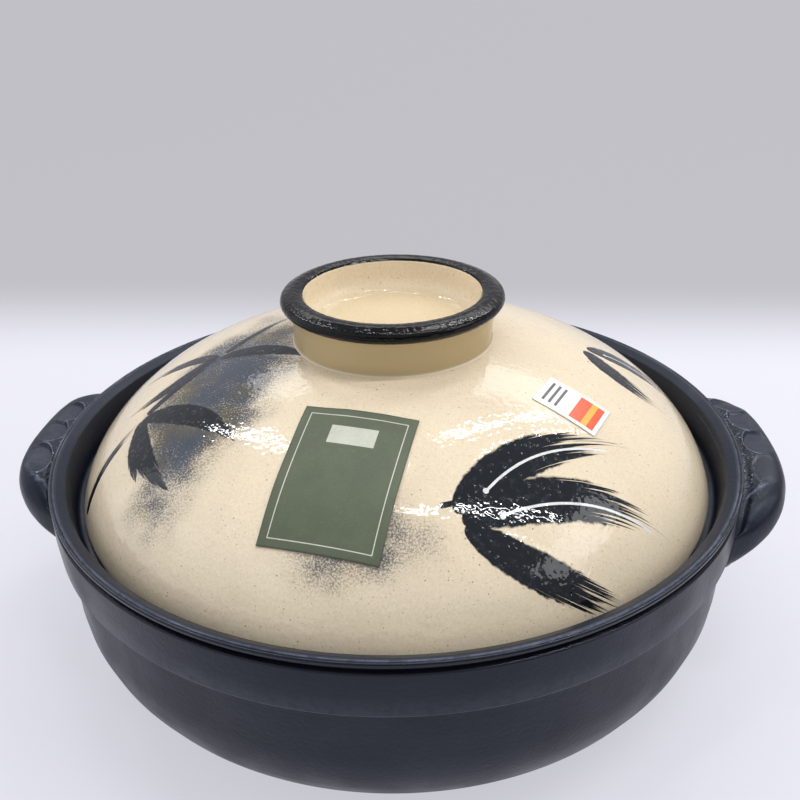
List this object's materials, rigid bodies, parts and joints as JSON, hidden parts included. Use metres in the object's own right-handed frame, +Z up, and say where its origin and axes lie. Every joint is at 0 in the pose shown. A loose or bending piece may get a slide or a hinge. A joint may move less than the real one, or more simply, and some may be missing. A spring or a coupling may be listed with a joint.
{
  "type": "lidded clay cooking pot",
  "caption": "Lidded clay pot: a wide glazed bowl with ear handles, a rim gallery and a loose domed lid with a grip ring.",
  "frame": {"origin": "on the table plane, under the middle of the pot's base", "axes": "+Z up through the lid's grip ring, +X through the right handle, -Y towards the picture's camera"},
  "size_m": [0.3251, 0.2904, 0.1548],
  "materials": {
    "pot_glaze": "satin blue-black glaze",
    "lid_glaze": "glossy cream glaze with fine iron specks",
    "ring_glaze": "glossy cream glaze with a black-glazed lip",
    "green_paper": "matt dull green paper",
    "white_paper": "smooth white sticker paper"
  },
  "bodies": {
    "pot": {"pot_body": "pot_glaze", "handle_left": "pot_glaze", "handle_right": "pot_glaze"},
    "lid": {"lid_dome": "lid_glaze", "lid_knob_ring": "ring_glaze", "paper_label": "green_paper", "small_label": "white_paper"}
  },
  "joints": [
    {"name": "lid_lift", "type": "slide", "parent": "pot", "child": "lid", "axis": [0, 0, 1], "range_m": [0, 0.15]}
  ]
}
